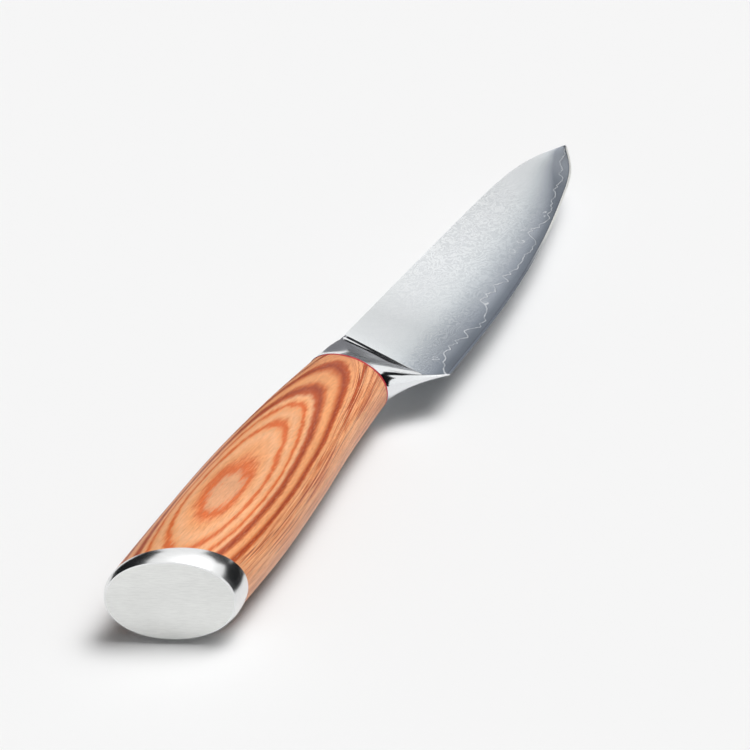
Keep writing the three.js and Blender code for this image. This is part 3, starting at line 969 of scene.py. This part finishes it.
# %% [markdown]
# ## Layered steel
# The side sheets are folded from two steels and etched, so a faint swirling pattern shows, like the grain
# of a burr. It is made from the height lines of a cloudy field, which close into rings as cut layers do.
# Low down, most of all near the heel, the field also climbs with the height on the blade, and there its
# lines turn into folds that lie one above the other. The etch is deepest about a third of the way along
# and fades towards the point.

# %% The etched pattern
# Share of the length, and how deep the etch is there.
ETCH_DEPTH = [(0.0, 0.05), (0.12, 0.09), (0.3, 0.24), (0.5, 0.2), (0.62, 0.1), (0.75, 0.04), (1.0, 0.03)]
ETCH_STRETCH = (0.26, 0.34, 0.0)
ETCH_OFFSET = (40.3, 20.7, 0.37)
# Number of lines, and the range of the wave that draws them.
SWIRL_LINES = (7.0, -0.8, 0.8)
FOLD_LINES = (10.0, -0.6, 0.9)
FOLD_DEPTH = 0.36
FOLD_CLIMB = 1.8
FOLDS_LOW_DOWN = (0.25, 0.5, 1.0, 0.0)
FOLDS_NEAR_HEEL = (0.1, 0.3, 1.0, 0.25)


def height_lines(tree, field, count, low, high):
    """Thin lines where a cloudy field passes evenly spaced levels."""
    wave = maths(tree, "SINE", maths(tree, "MULTIPLY", field, count * 2 * math.pi))
    return span(tree, wave, low, high)


def net_place(tree):
    """The place in the blade's net: share of the length, share of the height, distance above the line."""
    kept = add(tree, "Attribute", attribute_name="net").outputs["Vector"]
    return add(tree, "SeparateXYZ", {0: kept}).outputs


layered, tree, surface = material("layered_steel")
where = millimetres(tree)
along, share, above = net_place(tree)
swirl = noise(tree, moved(tree, where, ETCH_STRETCH, ETCH_OFFSET),
              Scale=1.0, Detail=1.5, Roughness=0.5, Distortion=0.8)
swirls = height_lines(tree, swirl, *SWIRL_LINES)
folds = height_lines(tree, maths(tree, "MULTIPLY_ADD", share, FOLD_CLIMB, swirl), *FOLD_LINES)
folded = maths(tree, "MULTIPLY", span(tree, share, *FOLDS_LOW_DOWN), span(tree, along, *FOLDS_NEAR_HEEL))
pattern = add(tree, "Mix", {0: folded, 2: swirls, 3: folds}).outputs[0]
etch = maths(tree, "MULTIPLY_ADD", folded, FOLD_DEPTH, grey_ramp(tree, along, ETCH_DEPTH))
print("pattern:", len(tree.nodes), "nodes so far")

# %% [markdown]
# ## The etched surface
# The acid leaves one of the two steels a little darker and a touch lower, and the other a little rougher.
# So the same pattern works three times: it darkens the painted reflection tone, it sets the roughness
# together with the grinding lines, and it feeds a very shallow bump. The border line, partly a painted
# highlight, is drawn over it.

# %% The layered finish
ETCH_TONE = tint(120, 130, 142)
LAYER_LINE = 0.5
NO_GROOVE_SHADE = 0.0
LAYER_GRINDING = ((3.0, 0.12, 3.0), 1.0)
LAYER_ROUGHNESS = (0.2, 1.7, 0.18, 0.24)
LINE_RELIEF = 2.0

etched = maths(tree, "MULTIPLY", maths(tree, "SUBTRACT", 1.0, pattern), etch)
painted_reflection = place_group(tree, painted_reflection_tone, {"Along": along, "Share": share})["Tone"]
line = place_group(tree, border_line, {"Place": where, "Above": above})
lined = with_border(tree, blend(tree, etched, painted_reflection, ETCH_TONE), line, LAYER_LINE, NO_GROOVE_SHADE)
tree.links.new(lined, surface["Base Color"])
surface["Metallic"].default_value = 1.0
rough = maths(tree, "ADD", pattern, streaks(tree, where, *LAYER_GRINDING))
tree.links.new(span(tree, rough, *LAYER_ROUGHNESS), surface["Roughness"])
relief = maths(tree, "MULTIPLY_ADD", line["Bright"], LINE_RELIEF, pattern)
raised = add(tree, "Bump", {"Height": relief, "Strength": 0.025, "Distance": 0.03 * MM})
tree.links.new(raised.outputs[0], surface["Normal"])
for sheet_piece in (right_sheet, left_sheet):
    sheet_piece.data.materials.append(layered)
print("layered steel:", len(tree.nodes), "nodes")

# %% [markdown]
# ## Core steel
# The core is plain steel with fine grinding lines. At the edge itself a narrow bevel is honed on a stone. It
# is duller than the band above, and its reflection is painted on: dark near the heel and pale from the middle
# on, because it faces another way. A thin dark line of painted shade marks where the bevel starts. The bevel
# is found by the distance from the edge, which the mesh keeps, counted in bevels.

# %% The core's finish
CORE_LINE = 0.5
CORE_GROOVE_SHADE = 0.4
CORE_GRINDING = ((3.0, 0.15, 3.0), 1.0)
CORE_SHADE = (0.0, 1.0, 0.95, 1.05)
CORE_TONE = (11.0, 0.94, 1.06)
CORE_ROUGHNESS = (0.2, 0.8, 0.18, 0.24)
BEVEL_STARTS = 1.25
# Painted shade of the thin line where the bevel starts, and the bevel's painted reflection: dark near the
# heel, pale from the middle on.
BEVEL_LINE = (0.1, 0.35, 0.5, 0.0)
BEVEL_LINE_SHADE = tint(74, 80, 92)
BEVEL_REFLECTION_BRIGHTENS = (0.3, 0.5)
PAINTED_BEVEL_REFLECTIONS = (tint(112, 118, 128), tint(236, 236, 233))
ON_BEVEL = (0.95, 1.05, 1.0, 0.0)
BEVEL_ROUGHER = 0.2

core_steel, tree, surface = material("core_steel")
where = millimetres(tree)
along, share, above = net_place(tree)
from_edge = add(tree, "Attribute", attribute_name="from_edge").outputs["Fac"]
lines = streaks(tree, where, *CORE_GRINDING)
level = maths(tree, "MULTIPLY", span(tree, lines, *CORE_SHADE), slow_tone(tree, where, *CORE_TONE))
painted_reflection = place_group(tree, painted_reflection_tone, {"Along": along, "Share": share})["Tone"]
line = place_group(tree, border_line, {"Place": where, "Above": above})
# The core band gets the groove's painted shade and the line's partly painted highlight.
band_tone = with_border(tree, shaded(tree, painted_reflection, level), line, CORE_LINE, CORE_GROOVE_SHADE)
# Painted shade along the start of the bevel, then the bevel's painted reflection.
from_bevel = maths(tree, "ABSOLUTE", maths(tree, "SUBTRACT", from_edge, BEVEL_STARTS))
band_tone = blend(tree, span(tree, from_bevel, *BEVEL_LINE), band_tone, BEVEL_LINE_SHADE)
painted_bevel_tone = blend(tree, span(tree, along, *BEVEL_REFLECTION_BRIGHTENS), *PAINTED_BEVEL_REFLECTIONS)
on_bevel = span(tree, from_edge, *ON_BEVEL)
tree.links.new(blend(tree, on_bevel, band_tone, painted_bevel_tone), surface["Base Color"])
core_rough = maths(tree, "MULTIPLY_ADD", on_bevel, BEVEL_ROUGHER, span(tree, lines, *CORE_ROUGHNESS))
tree.links.new(core_rough, surface["Roughness"])
surface["Metallic"].default_value = 1.0
core.data.materials.append(core_steel)
print("core steel:", len(tree.nodes), "nodes")

# %% [markdown]
# ## What stays hidden
# The tang and its bed of adhesive are inside the handle. They could be made again as well, but nobody
# sees them. They keep their CAD shapes and only get a finish, so that the model is whole if someone takes
# the handle off.

# %% Tang and adhesive
RESIN = tint(205, 190, 140)
RESIN_MM = 3.0
RESIN_TONE = (0.85, 1.1)
RESIN_ROUGHNESS = (0.4, 0.6)

tang_steel = bright_steel("tang_steel", tint(168, 170, 173), stretch=(0.3, 2.0, 2.0), contrast=1.6,
                          rough=(0.4, 0.55), bump=0.1)
adhesive, tree, surface = material("adhesive")
tone = slow_tone(tree, millimetres(tree), RESIN_MM, *RESIN_TONE)
tree.links.new(shaded(tree, RESIN, tone), surface["Base Color"])
tree.links.new(span(tree, tone, *RESIN_TONE, *RESIN_ROUGHNESS), surface["Roughness"])
for node, finish in (("tang_bar", tang_steel), ("tang_bedding", adhesive)):
    mesh = frame["nodes"][node].data
    mesh.materials.clear()
    mesh.materials.append(finish)
    print(node, "keeps its CAD shape, with", finish.name)

# %% [markdown]
# ## The table
# The knife lies on a pale, matt table that is much larger than the picture, so that no rim of it shows. A
# plane from Blender's own menu would do. Four corners and one face are as short, and say the size by name.

# %% The table
TABLE_HALF = 6.0
TABLE_TONE = tint(246, 246, 246)


def matt(name, colour):
    """A material without any shine."""
    made, tree, surface = material(name)
    surface["Base Color"].default_value = colour
    surface["Roughness"].default_value = 1.0
    surface["Specular IOR Level"].default_value = 0.0
    return made


table_mesh = bpy.data.meshes.new("table")
table_corners = [(x * TABLE_HALF, y * TABLE_HALF, 0) for x, y in ((-1, -1), (1, -1), (1, 1), (-1, 1))]
table_mesh.from_pydata(table_corners, [], [(0, 1, 2, 3)])
table_mesh.materials.append(matt("table_top", TABLE_TONE))
floor = bpy.data.objects.new("table", table_mesh)
scene.collection.objects.link(floor)
print("table:", 2 * TABLE_HALF, "m wide")

# %% [markdown]
# ## The sky
# The light is soft. Most of it comes from above, leaning a little to the tip and the edge, and the rest comes
# evenly from everywhere. Lamps could do it, but a bright patch in the sky has no hard rim. The camera and all
# mirrors see a plain white sky instead, so the patch is no spot in the polished steel.

# %% The sky
WHITE = (1, 1, 1, 1)
KEY_DIRECTION = Vector((0.27, -0.25, 1.0)).normalized()
KEY_POWER = 30.0
KEY_SHARE = 0.86

world = bpy.data.worlds.new("studio")
scene.world = world
world.use_nodes = True
tree = world.node_tree
tree.nodes.clear()
# The peak at which the bright patch gives a level table its share of the light.
key_peak = KEY_SHARE * (KEY_POWER + 2) / 2 / KEY_DIRECTION.z
direction = add(tree, "TexCoord").outputs["Generated"]
facing = add(tree, "VectorMath", {0: direction, 1: KEY_DIRECTION}, operation="DOT_PRODUCT").outputs["Value"]
patch = maths(tree, "POWER", maths(tree, "MAXIMUM", facing, 0.0), KEY_POWER)
light_level = maths(tree, "MULTIPLY_ADD", patch, key_peak, 1 - KEY_SHARE)
lit = add(tree, "Background", {"Color": WHITE, "Strength": light_level})
seen = add(tree, "Background", {"Color": WHITE, "Strength": 1.0})
rays = add(tree, "LightPath").outputs
direct = maths(tree, "MAXIMUM", rays["Is Camera Ray"], rays["Is Glossy Ray"])
direct = maths(tree, "MAXIMUM", direct, rays["Is Transmission Ray"])
choice = add(tree, "MixShader", {0: direct, 1: lit.outputs[0], 2: seen.outputs[0]})
add(tree, "OutputWorld", {"Surface": choice.outputs[0]})
print("sky: the bright patch peaks at", round(key_peak, 2))

# %% [markdown]
# ## Dark cards
# Polished steel shows what surrounds it, so a photographer stands dark cards around the set: their
# reflections draw the black lines that make metal look like metal. Large far cards give the broad dark
# bands. Small near cards serve one spot each and leave most of the blade bright in other views.

# %% Cards that only mirrors see
card_black = matt("card_black", (0.012, 0.013, 0.016, 1))
card_grey = matt("card_grey", (0.3, 0.3, 0.32, 1))
CARD_DISTANCE = 3.0
CARD_STEP = 3


def stage_card(name, points, faces, finish):
    """A card that only mirrors see."""
    mesh = bpy.data.meshes.new(name)
    mesh.from_pydata(points, [], faces)
    mesh.materials.append(finish)
    made = bpy.data.objects.new(name, mesh)
    scene.collection.objects.link(made)
    made.visible_camera = False
    made.visible_diffuse = False
    made.visible_shadow = False
    print(name, "has", len(faces), "faces")


def far_card(name, bearings, low, high):
    """A dark card on a large ball around the knife, from one bearing to another, all in degrees.

    The upper side rises or falls evenly from the first bearing to the last."""
    count = max(2, round((bearings[1] - bearings[0]) / CARD_STEP)) + 1
    points = []
    for bearing, top in zip(np.linspace(*bearings, count), np.linspace(*high, count)):
        for elevation in (low, top):
            a, e = math.radians(bearing), math.radians(elevation)
            away = Vector((math.cos(a) * math.cos(e), math.sin(a) * math.cos(e), math.sin(e)))
            points.append(away * CARD_DISTANCE)
    stage_card(name, points, [(2 * i, 2 * i + 2, 2 * i + 3, 2 * i + 1) for i in range(count - 1)], card_black)


def near_card(name, foot, run, height, finish):
    """An upright card close to the knife, from one foot along a run on the table, in metres."""
    start, along_run, up = Vector(foot), Vector(run), Vector((0, 0, height))
    points = [start, start + along_run, start + along_run + up, start + up]
    stage_card(name, points, [(0, 1, 2, 3)], finish)


near_card("spine_card", foot=(-0.03, 0.042, 0), run=(0.19, 0, 0), height=0.03, finish=card_grey)
far_card("left_card", bearings=(40, 60), low=0, high=(34, 56))
far_card("far_left_card", bearings=(60, 135), low=0, high=(56, 66))
far_card("shoulder_card", bearings=(5, 24), low=12, high=(24, 24))
near_card("cap_card", foot=(-0.087, -0.062, 0), run=(0.034, 0.032, 0), height=0.046, finish=card_black)
near_card("crease_card", foot=(0.016, -0.062, 0), run=(0.036, 0.036, 0), height=0.046, finish=card_black)
far_card("sweep_card", bearings=(-32, 5), low=17, high=(42, 40))
